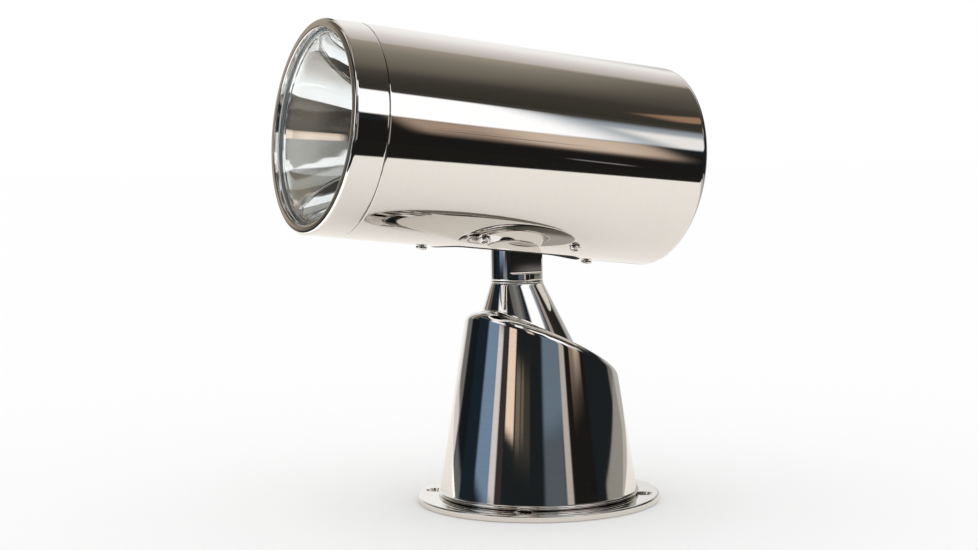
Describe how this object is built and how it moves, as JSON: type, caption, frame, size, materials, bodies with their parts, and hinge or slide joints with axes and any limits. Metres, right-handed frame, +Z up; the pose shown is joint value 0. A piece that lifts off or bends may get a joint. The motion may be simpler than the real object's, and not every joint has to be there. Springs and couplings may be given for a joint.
{
  "type": "marine searchlight",
  "caption": "Remote-controlled searchlight: polished cylindrical barrel with a glass front, tilting on a post that pans in a tapered cowl with a slanted top and a round mounting flange.",
  "frame": {"origin": "centre of the mounting flange's underside", "axes": "+Z up along the base's axis; -Y towards the high side of the slanted cowl, where the beam points when centred; +X to the right as seen from the front"},
  "size_m": [0.1843, 0.3014, 0.3511],
  "materials": {
    "polished": "mirror-polished stainless steel",
    "steel": "bright machined",
    "aluminium": "turned",
    "mirror": "bright mirror coating",
    "bronze": "oiled bearing bronze",
    "brass": "machined",
    "rubber": "matt",
    "plastic": "matt",
    "motor": "zinc-plated grey",
    "ceramic": "unglazed off-white ceramic",
    "glass": "clear, faint green at its edge",
    "bulb": "clear"
  },
  "bodies": {
    "base": {"base_cowl": "polished", "base_gasket": "rubber", "cable_grommet": "rubber", "cowl_screw_1": "steel", "cowl_screw_2": "steel", "cowl_screw_3": "steel", "cowl_screw_4": "steel", "drive_plate": "aluminium", "lower_bush": "bronze", "mounting_flange": "polished", "neck_bush": "bronze", "neck_seal": "rubber", "pan_motor": "motor", "pan_motor_screw_1": "steel", "pan_motor_screw_2": "steel", "pillar_1": "steel", "pillar_2": "steel", "pillar_3": "steel", "pillar_screw_1": "steel", "pillar_screw_2": "steel", "pillar_screw_3": "steel", "thrust_washer": "polished"},
    "pan_pinion": {"pan_pinion": "steel"},
    "post": {"axle_bush_left": "bronze", "axle_bush_right": "bronze", "pan_gear": "brass", "post": "polished", "sector_screw_1": "steel", "sector_screw_2": "steel", "shaft_clip": "steel", "slot_shield": "plastic", "tilt_sector": "brass"},
    "barrel": {"axle_clip_left": "steel", "axle_clip_right": "steel", "barrel_can": "polished", "bezel_ring": "polished", "lamp_bulb": "bulb", "lamp_holder": "ceramic", "lens_gasket": "rubber", "lens_glass": "glass", "reflector": "mirror", "reflector_ring": "aluminium", "slot_screw_1": "polished", "slot_screw_2": "polished", "slot_screw_3": "polished", "slot_screw_4": "polished", "slot_screw_5": "polished", "slot_screw_6": "polished", "slot_seal": "rubber", "tilt_axle": "steel", "tilt_chassis": "steel", "tilt_motor": "motor", "tilt_motor_screw_1": "steel", "tilt_motor_screw_2": "steel"},
    "tilt_pinion": {"tilt_pinion": "steel"}
  },
  "joints": [
    {"name": "pan", "type": "hinge", "parent": "base", "child": "post", "pos_m": [0, -0.0174, 0], "axis": [0, 0, 1], "range_deg": [-177.5, 192.5]},
    {"name": "tilt", "type": "hinge", "parent": "post", "child": "barrel", "pos_m": [0, -0.0174, 0.2584], "axis": [-0.9914, 0.1305, 0], "range_deg": [-30.6, 17.4]},
    {"name": "pan_pinion_spin", "type": "hinge", "parent": "base", "child": "pan_pinion", "pos_m": [0.04077, -0.01021, 0], "axis": [0, 0, 1], "range_deg": [-700, 650]},
    {"name": "tilt_pinion_spin", "type": "hinge", "parent": "barrel", "child": "tilt_pinion", "pos_m": [0.00642, 0.03135, 0.25271], "axis": [-0.9914, 0.1305, 0], "range_deg": [-175, 100]}
  ],
  "couplings": [
    {"joint": "pan_pinion_spin", "follows": "pan", "ratio": -3.6},
    {"joint": "tilt_pinion_spin", "follows": "tilt", "ratio": 5.6}
  ]
}
